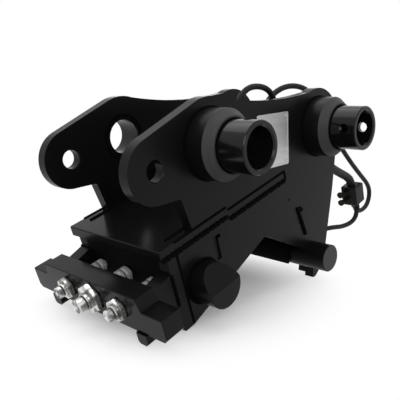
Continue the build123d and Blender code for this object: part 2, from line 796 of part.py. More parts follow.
# Hose from the foot of the block back to the locking gear's shroud
front_x = block_x + 9
hose([
    (front_x, *on_block(0, -block_height / 2)), (front_x, *on_block(0, -block_height / 2 - 34)),
    (front_x, 718, -290), (front_x - 4, 664, -298), (front_x - 12, 606, -292), (front_x - 26, 548, -296),
    (lock_port_x + 8, 496, -310), (lock_port_x, 470, lock_z),
    (lock_port_x, lock_y + shroud_outer + port_height, lock_z),
], thin_hose, "lock_hose")

# Junction under the rear deck, and the oil pipes from the couplings to it
with BuildPart() as pipe_junction:
    add(slab(junction_front, junction_front + junction_length,
             rear_deck_bottom - junction_height, rear_deck_bottom, coupling_pitch + 24))
keep(pipe_junction, "pipe_junction")

for x, name in zip(coupling_spots, coupling_names):
    start_run = beam_rear + adapter_length
    over_rise = deck_bottom - pipe_drop
    hose([
        (x, *on_tilt(start_run, coupling_height)), (x, *on_tilt(bulkhead_rear + 6, coupling_height)),
        (x, *on_tilt(bulkhead_rear + 40, over_rise)), (x, *on_tilt(junction_front, over_rise)),
    ], line_diameter, f"oil_pipe_{name}")
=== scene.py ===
"""A hydraulic quick coupler for an excavator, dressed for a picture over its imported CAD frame."""

from math import cos, pi, radians, sin

import bmesh
import bpy
from mathutils import Matrix, Vector


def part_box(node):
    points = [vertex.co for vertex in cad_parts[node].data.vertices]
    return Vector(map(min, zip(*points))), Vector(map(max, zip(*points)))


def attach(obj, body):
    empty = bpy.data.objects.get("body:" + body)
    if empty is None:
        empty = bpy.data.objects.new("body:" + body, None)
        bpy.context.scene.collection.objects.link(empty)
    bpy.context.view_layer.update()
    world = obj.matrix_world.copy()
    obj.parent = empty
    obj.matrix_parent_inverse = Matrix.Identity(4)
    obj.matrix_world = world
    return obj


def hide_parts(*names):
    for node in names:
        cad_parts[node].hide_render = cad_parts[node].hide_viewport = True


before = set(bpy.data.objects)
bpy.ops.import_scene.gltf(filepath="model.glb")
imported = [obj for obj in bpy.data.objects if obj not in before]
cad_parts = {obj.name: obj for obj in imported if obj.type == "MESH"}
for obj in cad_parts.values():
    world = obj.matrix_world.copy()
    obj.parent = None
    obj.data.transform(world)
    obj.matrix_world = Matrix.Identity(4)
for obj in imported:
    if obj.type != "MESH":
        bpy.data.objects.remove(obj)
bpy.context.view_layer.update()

# View and room
# The coupler stands on a white floor, with nothing but white behind it. It is seen from its front
# right corner, a little above, under a broad lamp overhead, a long one behind and a small one in front.


def feed(tree, slot, value):
    """Links a value that varies to an input, or sets one that doesn't."""
    if isinstance(value, Wire):
        tree.links.new(value.socket, slot)
    else:
        slot.default_value = value


class Wire:
    """One output socket, so that shader maths can be written as an expression."""

    def __init__(self, tree, socket):
        self.tree = tree
        self.socket = socket

    def _math(self, operation, *values):
        node = self.tree.nodes.new("ShaderNodeMath")
        node.operation = operation
        for slot, value in zip(node.inputs, values):
            feed(self.tree, slot, value)
        return Wire(self.tree, node.outputs[0])

    def __add__(self, other):
        return self._math("ADD", self, other)

    __radd__ = __add__

    def __sub__(self, other):
        return self._math("SUBTRACT", self, other)

    def __rsub__(self, other):
        return self._math("SUBTRACT", other, self)

    def __mul__(self, other):
        return self._math("MULTIPLY", self, other)

    __rmul__ = __mul__

    def step(self, low, high):
        """Rises smoothly from 0 at low to 1 at high."""
        node = self.tree.nodes.new("ShaderNodeMapRange")
        node.interpolation_type = "SMOOTHSTEP"
        feed(self.tree, node.inputs["Value"], self)
        feed(self.tree, node.inputs["From Min"], low)
        feed(self.tree, node.inputs["From Max"], high)
        return Wire(self.tree, node.outputs["Result"])

    def most(self, other):
        return self._math("MAXIMUM", self, other)


class Finish:
    """A material under construction, with its one Principled shader."""

    def __init__(self, name):
        self.material = bpy.data.materials.new(name)
        self.material.use_nodes = True
        self.tree = self.material.node_tree
        self.shader = self.tree.nodes["Principled BSDF"]
        self.place = self.node("ShaderNodeTexCoord")["Object"]

    def node(self, kind, settings=None, **inputs):
        """Adds a node, sets it up, and gives its outputs by name."""
        node = self.tree.nodes.new(kind)
        for key, value in (settings or {}).items():
            setattr(node, key, value)
        for key, value in inputs.items():
            feed(self.tree, node.inputs[key.replace("_", " ")], value)
        return {out.name: Wire(self.tree, out) for out in reversed(node.outputs)}

    def noise(self, scale, detail=3.0, roughness=0.5, place=None):
        return self.node("ShaderNodeTexNoise", Vector=place or self.place, Scale=scale, Detail=detail,
                         Roughness=roughness)["Fac"]

    def stretched(self, x, y, z):
        return self.node("ShaderNodeMapping", Vector=self.place, Scale=(x, y, z))["Vector"]

    def sideways(self):
        """How far out from the coupler's mid-plane the surface lies, along X."""
        return self.node("ShaderNodeSeparateXYZ", Vector=self.place)["X"]

    def mix(self, share, first, second):
        """Blends two colours by a share from 0 to 1."""
        node = self.tree.nodes.new("ShaderNodeMix")
        node.data_type = "RGBA"
        for slot, value in ((node.inputs[0], share), (node.inputs[6], first), (node.inputs[7], second)):
            feed(self.tree, slot, value)
        return Wire(self.tree, node.outputs[2])

    def bump(self, height, strength, depth):
        return self.node("ShaderNodeBump", Height=height, Strength=strength, Distance=depth)["Normal"]

    def set(self, **sockets):
        for key, value in sockets.items():
            feed(self.tree, self.shader.inputs[key.replace("_", " ")], value)
        return self.material


def facing(name, data, place, direction):
    """Puts a camera or a lamp in the scene so that it faces one way."""
    made = bpy.data.objects.new(name, data)
    made.location = place
    made.rotation_euler = Vector(direction).to_track_quat("-Z", "Y").to_euler()
    bpy.context.collection.objects.link(made)
    return made


camera_place = (0.8991, -0.7954, 0.0937)
looking = (-0.6860, 0.7028, -0.1882)
camera_data = bpy.data.cameras.new("camera")
camera_data.lens = 48.65
camera_data.sensor_width = 36.0
bpy.context.scene.camera = facing("camera", camera_data, camera_place, looking)
bpy.context.scene.view_settings.view_transform = "Standard"


def lamp(name, place, aim, size, power):
    """A soft lamp of a given width and height that faces a point."""
    data = bpy.data.lights.new(name, "AREA")
    data.shape = "RECTANGLE"
    data.size, data.size_y = size
    data.energy = power
    facing(name, data, place, Vector(aim) - Vector(place))


lamp("lamp_over", (-0.6, 0.2, 2.7), (0, 0.1, 0), (3.0, 3.0), 42)
lamp("lamp_back", (-2.6, 2.6, 0.9), (0, 0.2, 0), (2.6, 0.9), 12)
lamp("lamp_front", (1.9, -1.5, 0.9), (0, 0, -0.1), (1.1, 1.1), 13)


def even(tree, kind, grey):
    """A shader of one even grey."""
    node = tree.nodes.new(kind)
    node.inputs["Color"].default_value = (grey, grey, grey, 1)
    return node.outputs[0]


def mixed(tree, share, first, second):
    """Mixes two shaders by a share from 0 to 1."""
    node = tree.nodes.new("ShaderNodeMixShader")
    feed(tree, node.inputs[0], share)
    tree.links.new(first, node.inputs[1])
    tree.links.new(second, node.inputs[2])
    return node.outputs[0]


def white_for_camera(tree, output, seen, shaded):
    """Shows one shader to the camera, to reflections and through glass, and another as light."""
    path = tree.nodes.new("ShaderNodeLightPath")
    eye = Wire(tree, path.outputs["Is Camera Ray"])
    for kind in ("Is Glossy Ray", "Is Transmission Ray"):
        eye = eye.most(Wire(tree, path.outputs[kind]))
    tree.links.new(mixed(tree, eye, shaded, seen), tree.nodes[output].inputs["Surface"])


world = bpy.data.worlds.new("studio")
bpy.context.scene.world = world
world.use_nodes = True
dim = world.node_tree.nodes["Background"]
dim.inputs["Color"].default_value = (1, 1, 1, 1)
dim.inputs["Strength"].default_value = 0.70
bright = even(world.node_tree, "ShaderNodeBackground", 1.0)
white_for_camera(world.node_tree, "World Output", bright, dim.outputs[0])


def mesh_object(name, bm, finish, smooth=False):
    """Turns a bmesh into an object with its finish."""
    mesh = bpy.data.meshes.new(name)
    bm.normal_update()
    bm.to_mesh(mesh)
    bm.free()
    mesh.materials.append(finish)
    for face in mesh.polygons:
        face.use_smooth = smooth
    piece = bpy.data.objects.new(name, mesh)
    bpy.context.collection.objects.link(piece)
    return piece


# The floor keeps its shadow round the coupler and fades to plain white further out.
near_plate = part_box("side_plate_right")
floor_level = near_plate[0][2]
floor_gap = 0.0005
floor_bm = bmesh.new()
bmesh.ops.create_grid(floor_bm, x_segments=1, y_segments=1, size=6.0)
bmesh.ops.translate(floor_bm, vec=(0, 0, floor_level - floor_gap), verts=floor_bm.verts)
floor_paint = Finish("studio_floor")
floor_tree = floor_paint.tree
floor_paint.set(Base_Color=(0.30, 0.30, 0.30, 1), Roughness=0.8)
white = even(floor_tree, "ShaderNodeEmission", 1.0)
glow = even(floor_tree, "ShaderNodeEmission", 0.11)
chalk = even(floor_tree, "ShaderNodeBsdfDiffuse", 0.95)
lit_chalk = floor_tree.nodes.new("ShaderNodeAddShader")
floor_tree.links.new(glow, lit_chalk.inputs[0])
floor_tree.links.new(chalk, lit_chalk.inputs[1])
oval = floor_paint.node("ShaderNodeMapping", Vector=floor_paint.place, Location=(0, -0.08, 0),
                        Scale=(1, 0.8, 0))["Vector"]
away = floor_paint.node("ShaderNodeVectorMath", {"operation": "LENGTH"}, Vector=oval)["Value"]
seen_floor = mixed(floor_tree, away.step(0.12, 0.38), lit_chalk.outputs[0], white)
white_for_camera(floor_tree, "Material Output", seen_floor, floor_paint.shader.outputs[0])
mesh_object("studio_floor", floor_bm, floor_paint.material)

# Painted plates
# The side plates, the deck, the beam and the shaft are welded steel under satin black two-pack paint.
# It has a fine orange peel, and is a little duller where it was scuffed.
dark_black = (0.0035, 0.0035, 0.0037, 1)
light_black = (0.0065, 0.0065, 0.0068, 1)
paint = Finish("satin_black_paint")
peel = paint.noise(900.0, 2.0)
cloud = paint.noise(7.0, 4.0)
scuff = paint.noise(60.0, 5.0, 0.65).step(0.56, 0.75)
black_paint = paint.set(
    Base_Color=paint.mix(cloud, dark_black, light_black),
    Roughness=0.25 + 0.10 * cloud + 0.05 * scuff, Specular_IOR_Level=0.105,
    Normal=paint.bump(peel + 0.5 * cloud, 0.10, 0.0006),
)


def dress(finish, *nodes):
    """Gives CAD nodes a finish."""
    for name in nodes:
        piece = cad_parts[name]
        piece.data.materials.clear()
        piece.data.materials.append(finish)


sides = ("right", "left")
dress(black_paint, "deck_rear_plate", "rear_rib", "front_shaft", "lock_anchor")
for stem in ("side_plate", "lock_guide", "beam_arm", "guide_lug"):
    dress(black_paint, *(f"{stem}_{side}" for side in sides))

# The deck's front plate and the beam were rubbed smooth, so they mirror what is beside them.
smooth = Finish("smooth_black_paint")
film = smooth.noise(25.0, 3.0)
smooth_paint = smooth.set(
    Base_Color=smooth.mix(film, dark_black, light_black),
    Roughness=0.15 + 0.06 * film, Specular_IOR_Level=0.105, Normal=smooth.bump(film, 0.05, 0.0008),
)
dress(smooth_paint, "deck_front_plate", "coupling_beam")

# The cross plates below the deck are near black and matt, as painted shade for the shade that falls
# between the side plates. Towards their edges the painted shade gives way to a lighter, glossier black.
gap, reach = near_plate[0][0], near_plate[1][0]
painted_shade = Finish("painted_shade_cross_plates")
powder = painted_shade.noise(300.0, 3.0)
off_centre = painted_shade.sideways()
outer = (off_centre * off_centre).step((gap - 0.0075) ** 2, gap ** 2)
painted_shade_black = painted_shade.set(
    Base_Color=painted_shade.mix(outer, (0.002, 0.002, 0.002, 1), (0.018, 0.018, 0.018, 1)),
    Roughness=0.60 - 0.28 * outer + 0.2 * powder, Specular_IOR_Level=0.05,
)
dress(painted_shade_black, "front_bulkhead", "middle_rib", "belly_plate", "lock_shroud")

# Collars and sleeves
# Turned rings, welded on round the two pin bores. The cone at each near collar's end was ground after
# painting and is a dull grey, which is partly painted light for the light it catches from the front.
# The sleeves were sprayed twice, so they shine more.
collar_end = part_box("stick_collar_right")[1][0]
cone_start = collar_end - 0.018
edge_blur = 0.0006
ground_and_lit = Finish("ground_and_lit_collar")
cone = ground_and_lit.sideways().step(cone_start - edge_blur, cone_start + edge_blur)
grinding = ground_and_lit.noise(30.0, 4.0, 0.6, ground_and_lit.stretched(9.0, 1.0, 1.0))
# The cone's grey is ground steel and partly painted light.
ground_and_lit_grey = ground_and_lit.mix(grinding, (0.036, 0.036, 0.037, 1), (0.070, 0.070, 0.072, 1))
ground_and_lit_collar = ground_and_lit.set(
    Base_Color=ground_and_lit.mix(cone, (0.006, 0.006, 0.0062, 1), ground_and_lit_grey),
    Roughness=0.26 + 0.18 * cone + 0.10 * grinding, Specular_IOR_Level=0.10,
    Normal=ground_and_lit.bump(grinding, 0.10, 0.0005),
)
shiny = Finish("gloss_black_paint")
sag = shiny.noise(18.0, 3.0)
rub = shiny.noise(90.0, 5.0, 0.7).step(0.58, 0.78)
gloss_paint = shiny.set(
    Base_Color=shiny.mix(rub, (0.005, 0.005, 0.0052, 1), (0.016, 0.016, 0.0165, 1)),
    Roughness=0.13 + 0.08 * sag + 0.12 * rub, Specular_IOR_Level=0.21,
    Normal=shiny.bump(sag, 0.12, 0.0012),
)
for pin in ("stick", "link"):
    dress(ground_and_lit_collar, f"{pin}_collar_right")
    dress(black_paint, f"{pin}_collar_left")
    dress(gloss_paint, f"{pin}_sleeve_right", f"{pin}_sleeve_left")

# Weld beads
# Every joint in the frame is a fillet weld, laid by hand. Its ripples lie over each other like coins, and
# they are duller than the plates and near black, as painted shade for the shade in the joints.
tilt = radians(17.5)


def on_tilt(run, rise):
    """Y and Z of a point given along the deck and square to it."""
    return (run * cos(tilt) - rise * sin(tilt), run * sin(tilt) + rise * cos(tilt))


def straight(start, end, spacing):
    """Evenly spaced points on a line."""
    start, end = Vector(start), Vector(end)
    count = max(1, round((end - start).length / spacing))
    return [start.lerp(end, index / count) for index in range(count + 1)]


def side_line(x, start, end, spacing):
    """Points up or along a side plate, between two places given as run and rise."""
    return straight((x, *on_tilt(*start)), (x, *on_tilt(*end)), spacing)


def cross_line(left, right, place, spacing):
    """Points across the coupler, at one place given as run and rise."""
    return straight((left, *on_tilt(*place)), (right, *on_tilt(*place)), spacing)


def ring(x, centre, radius, spacing, start=0.0, turn=2 * pi):
    """Evenly spaced points on an arc about an axis parallel to X."""
    count = max(3, round(abs(turn) * radius / spacing))
    angles = [start + turn * index / count for index in range(count + 1)]
    y, z = centre
    return [Vector((x, y + radius * cos(angle), z + radius * sin(angle))) for angle in angles]


def fit(name, bm, finish, slot, place=None, replaces=None, smooth=False):
    """Fixes a mesh to the frame, in place of a CAD node where one is named."""
    if place is not None:
        bmesh.ops.transform(bm, matrix=place, verts=bm.verts)
    piece = mesh_object(name, bm, finish, smooth)
    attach(piece, "frame")
    if replaces:
        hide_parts(replaces)
    return piece


# The beads are near black as painted shade for the shade along the joints.
weld_shade = Finish("weld_black_painted_shade")
crust = weld_shade.noise(500.0, 3.0)
weld_painted_shade = weld_shade.set(
    Base_Color=weld_shade.mix(crust, (0.0010, 0.0010, 0.0010, 1), (0.0032, 0.0032, 0.0032, 1)),
    Roughness=0.50 + 0.2 * crust, Specular_IOR_Level=0.025, Normal=weld_shade.bump(crust, 0.3, 0.0005),
)
ripple_bm = bmesh.new()
bmesh.ops.create_uvsphere(ripple_bm, u_segments=8, v_segments=5, radius=1.0)
ripple = bpy.data.meshes.new("ripple")
ripple_bm.to_mesh(ripple)
ripple_bm.free()


def weld(name, lines, width, uneven=0.06):
    """Lays flat ripples along each line, whose widths wander by a share as the hand moved."""
    bm = bmesh.new()
    for points in lines:
        for number, (here, after) in enumerate(zip(points, points[1:])):
            turn = (after - here).to_track_quat("Z", "Y").to_matrix().to_4x4()
            full = width * (1 + uneven * sin(2.3 * number + sin(0.7 * number)))
            flattened = Matrix.Diagonal((full, full, 0.62 * full, 1))
            laid = ripple.copy()
            laid.transform(Matrix.Translation(here) @ turn @ flattened)
            bm.from_mesh(laid)
            bpy.data.meshes.remove(laid)
    fit(name, bm, weld_painted_shade, "black_paint", smooth=True)


fine = 0.0032
coarse = 0.004
coarser = 0.0042
pins = {"stick": (0.0, 0.0), "link": (0.396, 0.020)}
collar_radius = 0.0735
sleeve_radius = 0.0528
bore_rim_radius = 0.0525
for pin, centre in pins.items():
    weld(f"{pin}_collar_weld", [ring(x, centre, collar_radius, fine) for x in (reach, -reach)], 0.0035)
    weld(f"{pin}_sleeve_weld", [ring(collar_end, centre, sleeve_radius, fine)], 0.0028)
    weld(f"{pin}_inner_weld", [ring(x, centre, bore_rim_radius, fine) for x in (gap, -gap)], 0.003)

# The deck is welded along the top and the underside of its front and rear plates, and the bulkhead,
# the middle rib and the rear rib's tab where they meet the side plates.
front_top, front_under = -0.146, -0.168
rear_top, rear_under = -0.154, -0.176
deck_start, front_end, rear_start = -0.154, 0.006, 0.010
tab_end, deck_end = 0.219, 0.286
bulkhead_face = -0.156
rib_faces = (-0.035, -0.055)
rib_top = -0.172
rib_tab_corner = (0.247, -0.268)
slot_lines = []
root_lines = []
for x in (reach, -reach):
    slot_lines += [
        side_line(x, (deck_start, front_top), (front_end, front_top), fine),
        side_line(x, (rear_start, rear_top), (tab_end, rear_top), fine),
        side_line(x, (tab_end, rear_top), (tab_end, rear_under), fine),
        side_line(x, (bulkhead_face, rib_top), (bulkhead_face, -0.338), fine),
    ]
    root_lines += [
        side_line(x, (-0.190, front_under), (front_end, front_under), coarser),
        side_line(x, (0.012, rear_under), (tab_end, rear_under), coarser),
        side_line(x, rib_tab_corner, (0.264, -0.350), coarse),
        side_line(x, rib_tab_corner, (0.268, -0.280), coarse),
    ]
weld("deck_slot_weld", slot_lines, 0.0031)
weld("deck_root_weld", root_lines, 0.0056, uneven=0.2)
inner_lines = []
for x in (gap, -gap):
    for front_rise, rear_rise in ((front_top, rear_top), (front_under, rear_under)):
        inner_lines.append(side_line(x, (deck_start, front_rise), (front_end, front_rise), fine))
        inner_lines.append(side_line(x, (rear_start, rear_rise), (deck_end, rear_rise), fine))
    for rib_face in rib_faces:
        inner_lines.append(side_line(x, (rib_face, rib_top), (rib_face, -0.300), fine))
weld("deck_inner_weld", inner_lines, 0.0042)
weld("deck_step_weld", [cross_line(-gap, gap, (0.009, -0.155), coarse)], 0.004)
weld("bulkhead_weld", [cross_line(-reach, reach, (-0.183, -0.169), 0.005)], 0.0055, uneven=0.25)

# The shaft, the beam's arms, its guide lugs and the locking pins' guides are welded round their roots.
shaft = (-0.018, -0.284)
shaft_radius = 0.0475
weld("shaft_weld", [ring(x, shaft, shaft_radius, fine) for x in (reach, -reach)], 0.0038)
arm_back, arm_front = -0.182, -0.235
arm_foot = -0.276
lug_foot = -0.2765
arm_lines = []
lug_lines = []
for side in sides:
    arm_low, arm_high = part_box(f"beam_arm_{side}")
    for x in (arm_low[0], arm_high[0]):
        arm_lines.append(side_line(x, (arm_back, arm_foot), (arm_back, -0.204), coarse))
        arm_lines.append(side_line(x, (arm_front, arm_foot), (arm_front, -0.218), coarse))
    for place in ((arm_back, -0.204), (arm_front, -0.216)):
        arm_lines.append(cross_line(arm_low[0], arm_high[0], place, coarse))
    lug_low, lug_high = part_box(f"guide_lug_{side}")
    for x in (lug_low[0], lug_high[0]):
        lug_lines.append(side_line(x, (-0.280, lug_foot), (-0.249, lug_foot), coarse))
weld("beam_arm_weld", arm_lines, 0.0042, uneven=0.2)
weld("guide_lug_weld", lug_lines, 0.0032)
lock = (0.386, -0.312)
guide_radius = 0.0612
guide_start, guide_turn = radians(-50), radians(190)
guide_lines = [ring(x, lock, guide_radius, coarse, guide_start, guide_turn) for x in (gap, -gap)]
weld("lock_guide_weld", guide_lines, 0.0045)

# Locking gear
# Two hollow pins of hardened steel, blackened against rust, slide over a fixed chromed rod with a
# bronze gland at each inner end. Turning marks run round them, and their end faces have worn bright.
faced = Finish("faced_pin_steel")
tool_marks = faced.noise(40.0, 3.0, place=faced.stretched(14.0, 1.0, 1.0))
pin_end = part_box("lock_pin_right")[1][0]
pin_x = faced.sideways()
end_face = (pin_x * pin_x).step((pin_end - 0.0008) ** 2, (pin_end - 0.0002) ** 2)
pin_steel = faced.set(
    Base_Color=faced.mix(end_face, (0.005, 0.005, 0.0053, 1), (0.055, 0.055, 0.056, 1)),
    Roughness=0.24 + 0.14 * tool_marks + 0.15 * end_face, Specular_IOR_Level=0.12,
    Normal=faced.bump(tool_marks, 0.08, 0.0005),
)
hard = Finish("hard_chrome")
drawn = hard.noise(60.0, 3.0, place=hard.stretched(12.0, 1.0, 1.0))
chrome = hard.set(Base_Color=(0.62, 0.63, 0.64, 1), Metallic=1.0, Roughness=0.16 + 0.1 * drawn)
bearing = Finish("bronze")
grain = bearing.noise(300.0, 3.0)
bronze = bearing.set(Base_Color=bearing.mix(grain, (0.42, 0.24, 0.08, 1), (0.56, 0.34, 0.13, 1)),
                     Metallic=1.0, Roughness=0.34 + 0.1 * grain)
moulded = Finish("seal_rubber")
speck = moulded.noise(700.0, 2.0)
seal = moulded.set(Base_Color=(0.018, 0.018, 0.018, 1), Roughness=0.55 + 0.15 * speck)
for side in sides:
    dress(pin_steel, f"lock_pin_{side}")
    dress(chrome, f"lock_piston_{side}")
    dress(bronze, f"lock_gland_{side}")
    dress(seal, f"piston_seal_{side}")
dress(chrome, "lock_rod")

# Oil couplings
# Flat-face couplings and their adapters are turned from bar and plated bright, with a hexagon for
# the spanner. The poppet in each nose is ground, and rubber rings keep the dirt out. The rubber ring
# under each hexagon is also painted shade, for the slot between the hexagon and the beam.
plating = Finish("bright_plating")
turned_marks = plating.noise(150.0, 4.0)
stain = plating.noise(60.0, 4.0).step(0.40, 0.66)
plated = plating.set(
    Base_Color=plating.mix(stain, (0.72, 0.72, 0.70, 1), (0.20, 0.20, 0.195, 1)),
    Metallic=1.0 - 0.35 * stain, Roughness=0.14 + 0.12 * turned_marks + 0.14 * stain,
    Normal=plating.bump(turned_marks, 0.16, 0.0008),
)
satin = Finish("satin_plating")
oil_film = satin.noise(60.0, 3.0)
satin_plated = satin.set(
    Base_Color=satin.mix(oil_film, (0.48, 0.48, 0.475, 1), (0.88, 0.88, 0.86, 1)),
    Metallic=0.6, Roughness=0.22 + 0.12 * oil_film, Normal=satin.bump(oil_film, 0.06, 0.0004),
)


def lathe(profile, steps=40):
    """Spins a profile of (radius, height) points about Z."""
    bm = bmesh.new()
    line = [bm.verts.new((radius, 0, height)) for radius, height in profile]
    edges = [bm.edges.new(pair) for pair in zip(line, line[1:])]
    bmesh.ops.spin(bm, geom=line + edges, cent=(0, 0, 0), axis=(0, 0, 1), angle=2 * pi, steps=steps,
                   use_merge=True)
    bmesh.ops.remove_doubles(bm, verts=bm.verts, dist=1e-6)
    bmesh.ops.recalc_face_normals(bm, faces=bm.faces)
    return bm


corner_cut = 0.0046


def hexagon(flats, low, high):
    """A spanner hexagon with a corner up, whose corners are turned off at both ends."""
    bm = bmesh.new()
    corner = flats / 2 / cos(pi / 6)
    bmesh.ops.create_cone(bm, cap_ends=True, segments=6, radius1=corner, radius2=corner,
                          depth=high - low)
    bmesh.ops.translate(bm, vec=(0, 0, (low + high) / 2), verts=bm.verts)
    bmesh.ops.bevel(bm, geom=list(bm.verts), offset=corner_cut, segments=3, profile=0.5,
                    affect="VERTICES", material=-1)
    return bm


def at_beam(x):
    """Turns +Z out of the beam's front face, on the coupling's axis."""
    y, z = on_tilt(-0.281, -0.236)
    return Matrix((
        (1, 0, 0, x),
        (0, -sin(tilt), -cos(tilt), y),
        (0, cos(tilt), -sin(tilt), z),
        (0, 0, 0, 1),
    ))


noses = {"left": 0.019, "centre": 0.030, "right": 0.019}
hex_front = 0.012
beam_back = -0.046
bore = 0.00505


def turned_body(shank, shoulder, tip):
    """A coupling's body: shank, collar over the hexagon, wiper groove and nose with a flat face."""
    return lathe([
        (bore, beam_back), (shank, beam_back), (shank, hex_front), (shank - 0.0022, hex_front + 0.0006),
        (shank - 0.0022, hex_front + 0.0024), (shank + 0.0006, hex_front + 0.0026),
        (shank + 0.0009, hex_front + 0.0034), (shank + 0.0009, shoulder - 0.0012),
        (shank - 0.0004, shoulder), (shank - 0.0046, shoulder + 0.0006),
        (shank - 0.0046, shoulder + 0.0026), (shank - 0.0022, shoulder + 0.0032),
        (shank - 0.0022, tip - 0.0022), (shank - 0.0036, tip - 0.0006), (shank - 0.0056, tip - 0.0004),
        (shank - 0.0062, tip - 0.0016), (bore + 0.0012, tip - 0.0016), (bore, tip - 0.001),
        (bore, beam_back),
    ])


def turned_adapter(shank):
    """The adapter behind the beam: a barrel with four grooves and a waist, and a hexagon in front."""
    profile = [(0, beam_back - 0.0500), (shank - 0.0012, beam_back - 0.0500),
               (shank, beam_back - 0.0488)]
    for groove in (0.041, 0.0385, 0.028, 0.0255):
        profile += [(shank, beam_back - groove - 0.0004), (shank - 0.0016, beam_back - groove),
                    (shank - 0.0016, beam_back - groove + 0.0012), (shank, beam_back - groove + 0.0016)]
    profile += [(shank, beam_back - 0.0180), (shank - 0.0024, beam_back - 0.0164),
                (shank - 0.0024, beam_back - 0.0138), (0, beam_back - 0.0138)]
    bm = lathe(profile)
    spanner_bm = hexagon(2 * (shank + 0.002), beam_back - 0.014, beam_back)
    spanner = bpy.data.meshes.new("spanner")
    spanner_bm.to_mesh(spanner)
    spanner_bm.free()
    bm.from_mesh(spanner)
    bpy.data.meshes.remove(spanner)
    return bm


for spot, nose in noses.items():
    nut_low, nut_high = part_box(f"coupling_nut_{spot}")
    body_low, body_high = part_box(f"coupling_{spot}")
    flats = nut_high[0] - nut_low[0]
    shank = (body_high[0] - body_low[0]) / 2 - 0.001
    shoulder = hex_front + nose / 3
    place = at_beam((nut_low[0] + nut_high[0]) / 2)
    fit(f"coupling_body_{spot}", turned_body(shank, shoulder, hex_front + nose), plated,
        "plated_fitting", place, f"coupling_{spot}")
    fit(f"coupling_hexagon_{spot}", hexagon(flats, 0.0022, hex_front - 0.0004), plated,
        "plated_fitting", place, f"coupling_nut_{spot}")
    # The black rubber ring under the hexagon is partly painted shade for the slot behind it.
    washer_and_shade = lathe([(shank, 0), (flats * 0.5, 0), (flats * 0.5, 0.0021), (shank, 0.0021), (shank, 0)])
    fit(f"coupling_washer_{spot}", washer_and_shade, seal, "seal_rubber", place)
    wiper = lathe([
        (shank - 0.0022, shoulder + 0.0004), (shank - 0.0046, shoulder + 0.0008),
        (shank - 0.0046, shoulder + 0.0024), (shank - 0.0026, shoulder + 0.0028),
        (shank - 0.0022, shoulder + 0.0004),
    ])
    fit(f"coupling_wiper_{spot}", wiper, seal, "seal_rubber", place)
    fit(f"coupling_union_{spot}", turned_adapter(shank), satin_plated, "plated_fitting", place,
        f"coupling_adapter_{spot}")
    for number, low in enumerate((beam_back - 0.0345, beam_back - 0.0166), start=1):
        band = lathe([
            (shank - 0.0024, low), (shank + 0.0004, low + 0.0004), (shank + 0.0004, low + 0.0024),
            (shank - 0.0024, low + 0.0028), (shank - 0.0024, low),
        ])
        fit(f"coupling_band_{spot}_{number}", band, seal, "seal_rubber", place)
    dress(chrome, f"coupling_poppet_{spot}")
    dress(satin_plated, f"oil_pipe_{spot}")
dress(plated, "hose_ports")

# Blocks
# The manifold, the pipe junction and the connector block behind are machined steel, blackened like
# the pins. The manifold is held by four socket screws, and the dust plugs are olive black plastic.
oxide = Finish("blackened_steel")
cutter_marks = oxide.noise(40.0, 3.0, place=oxide.stretched(14.0, 1.0, 1.0))
blackened = oxide.set(
    Base_Color=oxide.mix(cutter_marks, (0.004, 0.004, 0.0043, 1), (0.010, 0.010, 0.0105, 1)),
    Roughness=0.26 + 0.14 * cutter_marks, Specular_IOR_Level=0.12,
    Normal=oxide.bump(cutter_marks, 0.08, 0.0005),
)
dress(blackened, "manifold", "pipe_junction", "connector_block")


def along(start, end):
    """Turns a piece made on +Z so that it starts at one point and runs towards another."""
    start, end = Vector(start), Vector(end)
    return Matrix.Translation(start) @ (end - start).to_track_quat("Z", "Y").to_matrix().to_4x4()


manifold_low, manifold_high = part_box("manifold")
screw_x = {"left": manifold_low[0] + 0.008, "right": manifold_high[0] - 0.008}
screw_profile = [(0, 0), (0.0042, 0), (0.0042, 0.0036), (0.0038, 0.004), (0.0023, 0.004),
                 (0.0021, 0.002), (0, 0.002)]
for number, run in enumerate((0.2235, 0.2545), start=1):
    for side, x in screw_x.items():
        place = along((x, *on_tilt(run, -0.108)), (x, *on_tilt(run, -0.100)))
        fit(f"manifold_screw_{side}_{number}", lathe(screw_profile, 24), plated, "plated_fitting", place)
plug = Finish("plug_plastic")
plug_grain = plug.noise(500.0, 2.0)
olive = plug.set(Base_Color=plug.mix(plug_grain, (0.006, 0.008, 0.002, 1), (0.012, 0.015, 0.004, 1)),
                 Roughness=0.5 + 0.12 * plug_grain, Specular_IOR_Level=0.15)
dress(olive, "dust_plugs")

